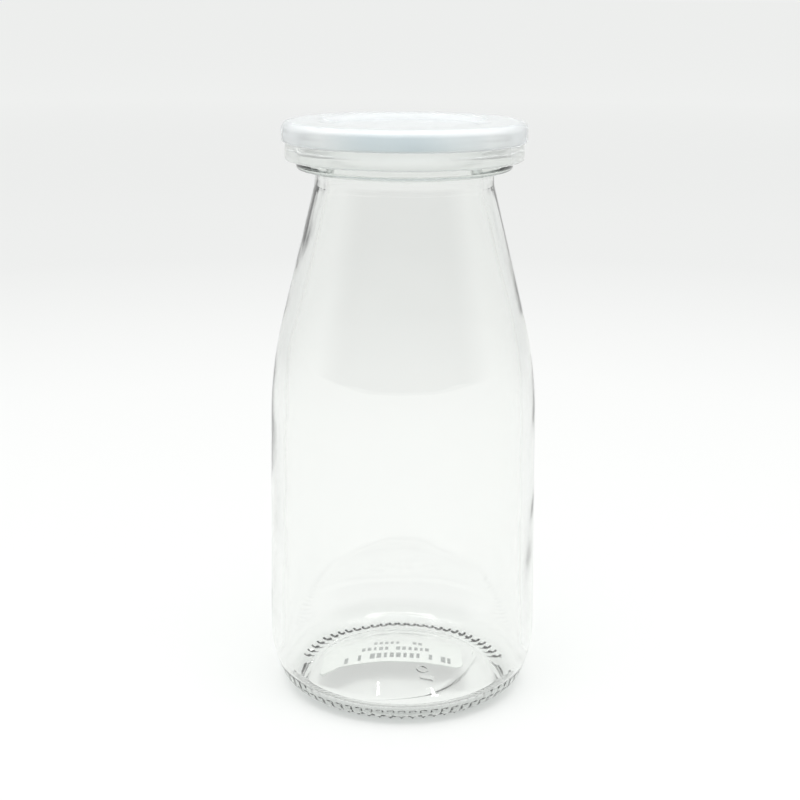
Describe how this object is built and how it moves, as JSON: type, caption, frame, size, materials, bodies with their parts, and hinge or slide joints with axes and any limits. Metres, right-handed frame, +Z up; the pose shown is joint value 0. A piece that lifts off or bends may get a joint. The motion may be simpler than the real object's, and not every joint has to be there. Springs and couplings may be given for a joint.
{
  "type": "small glass milk bottle with plastic cap",
  "caption": "Small empty clear-glass milk bottle with a sloping shoulder, a knurled foot, a translucent push-on plastic cap and a plain paper label under the foot.",
  "frame": {"origin": "centre of the foot, at the level it stands on", "axes": "+Z up along the jar's axis, -Y towards the side seen in the picture"},
  "size_m": [0.0614, 0.0614, 0.1291],
  "materials": {
    "clear_glass": "clear soda-lime glass, faintly green where thick, slightly wavy",
    "cap_plastic": "translucent bluish-white soft plastic, satin to gloss",
    "label_paper": "white matt paper with short grey printed bars"
  },
  "bodies": {
    "root": {"jar": "clear_glass", "cap": "cap_plastic", "label": "label_paper"}
  },
  "joints": []
}
